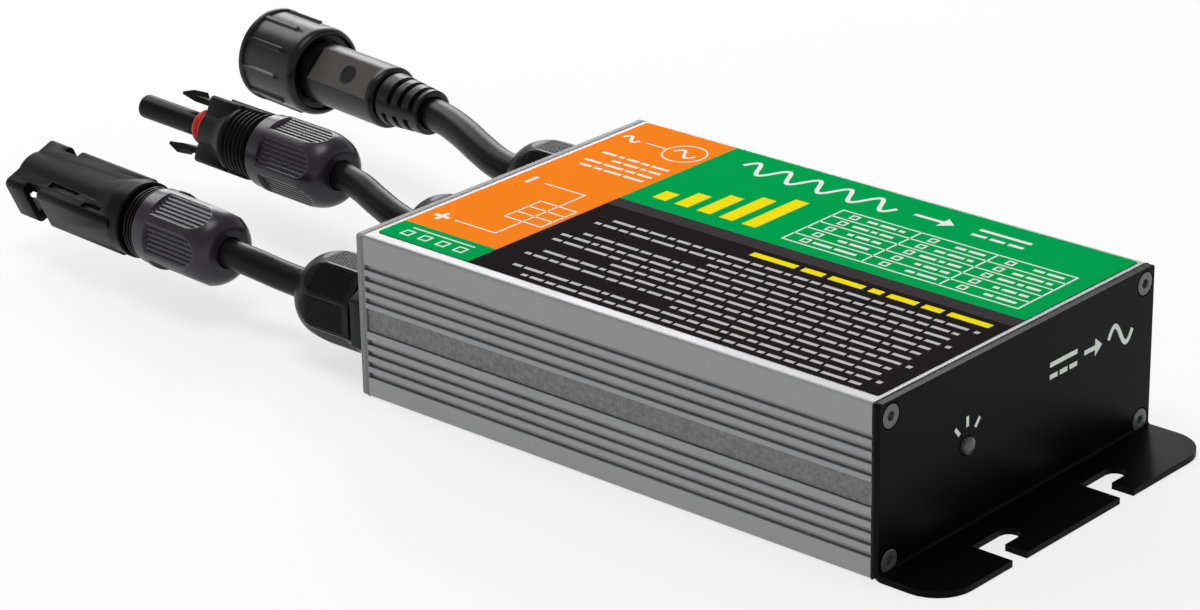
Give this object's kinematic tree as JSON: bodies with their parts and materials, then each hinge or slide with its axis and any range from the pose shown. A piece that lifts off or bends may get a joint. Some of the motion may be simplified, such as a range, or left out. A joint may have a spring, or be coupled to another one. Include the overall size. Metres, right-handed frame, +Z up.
{
  "type": "micro inverter",
  "caption": "Flat grooved aluminium case with a bent end panel, hooked mounting flange and glanded leads ending in connectors; turns solar panel current into mains current.",
  "frame": {"origin": "middle of the case's underside, halfway between the outer faces of the two end plates", "axes": "+X towards the status panel and its flange, +Y towards the mains lead's side, +Z up; the leads leave towards -X"},
  "size_m": [0.3028, 0.1163, 0.0396],
  "materials": {
    "aluminium": "satin grey anodised",
    "black_sheet": "black powder coat",
    "grey_sheet": "satin grey coat",
    "screw_steel": "plated steel",
    "rubber": "matt rubber",
    "label_film": "printed film",
    "lamp_lens": "grey lens",
    "gland_nylon": "black nylon",
    "cable_jacket": "black jacket",
    "connector_plastic": "black moulding",
    "nut_plastic": "dark grey moulding",
    "red_rubber": "red silicone",
    "contact_metal": "tinned contact",
    "board_laminate": "solder mask",
    "ferrite": "sintered ferrite",
    "capacitor_sleeve": "shrink sleeve",
    "choke_winding": "enamelled copper wire",
    "relay_case": "moulded case"
  },
  "bodies": {
    "housing": {"upper_shell": "aluminium", "lower_shell": "aluminium", "heat_bar": "aluminium", "front_plate": "black_sheet", "rear_plate": "grey_sheet", "front_gasket": "rubber", "rear_gasket": "rubber", "front_screw_1": "screw_steel", "front_screw_2": "screw_steel", "front_screw_3": "screw_steel", "front_screw_4": "screw_steel", "rear_screw_1": "screw_steel", "rear_screw_2": "screw_steel", "rear_screw_3": "screw_steel", "rear_screw_4": "screw_steel", "top_label": "label_film", "status_led": "lamp_lens", "dc_positive_gland_body": "gland_nylon", "dc_positive_gland_nut": "gland_nylon", "dc_positive_gland_locknut": "gland_nylon", "dc_positive_gland_seal": "rubber", "dc_positive_cable": "cable_jacket", "dc_negative_gland_body": "gland_nylon", "dc_negative_gland_nut": "gland_nylon", "dc_negative_gland_locknut": "gland_nylon", "dc_negative_gland_seal": "rubber", "dc_negative_cable": "cable_jacket", "ac_gland_body": "gland_nylon", "ac_gland_nut": "gland_nylon", "ac_gland_locknut": "gland_nylon", "ac_gland_seal": "rubber", "ac_cable": "cable_jacket", "dc_positive_connector_body": "connector_plastic", "dc_positive_connector_nut": "nut_plastic", "dc_positive_connector_seal": "rubber", "dc_positive_contact": "contact_metal", "dc_negative_connector_body": "connector_plastic", "dc_negative_connector_nut": "nut_plastic", "dc_negative_connector_seal": "rubber", "dc_negative_contact": "contact_metal", "dc_negative_nose_seal": "red_rubber", "ac_connector_body": "connector_plastic", "ac_contact_insert": "connector_plastic", "ac_contact_1": "contact_metal", "ac_contact_2": "contact_metal", "ac_contact_3": "contact_metal", "ac_face_seal": "rubber", "main_board": "board_laminate", "flyback_transformer_1": "ferrite", "flyback_transformer_2": "ferrite", "bulk_capacitor_1": "capacitor_sleeve", "bulk_capacitor_2": "capacitor_sleeve", "filter_choke": "choke_winding", "grid_relay": "relay_case"},
    "coupling_ring": {"ac_coupling_ring": "connector_plastic"},
    "latch_upper": {"dc_negative_latch_upper": "connector_plastic"},
    "latch_lower": {"dc_negative_latch_lower": "connector_plastic"}
  },
  "joints": [
    {"name": "coupling_ring_spin", "type": "hinge", "parent": "housing", "child": "coupling_ring", "pos_m": [-0.19864, 0.05418, 0.0252], "axis": [-0.9935, 0.1142, 0], "continuous": true},
    {"name": "latch_upper_flex", "type": "hinge", "parent": "housing", "child": "latch_upper", "pos_m": [-0.17984, 0.0121, 0.02781], "axis": [-0.0511, -0.9121, 0.4067], "range_deg": [0, 5], "stiffness_Nm_per_rad": 0.6},
    {"name": "latch_lower_flex", "type": "hinge", "parent": "housing", "child": "latch_lower", "pos_m": [-0.18012, 0.00702, 0.01639], "axis": [0.0511, 0.9121, -0.4067], "range_deg": [0, 5], "stiffness_Nm_per_rad": 0.6}
  ]
}
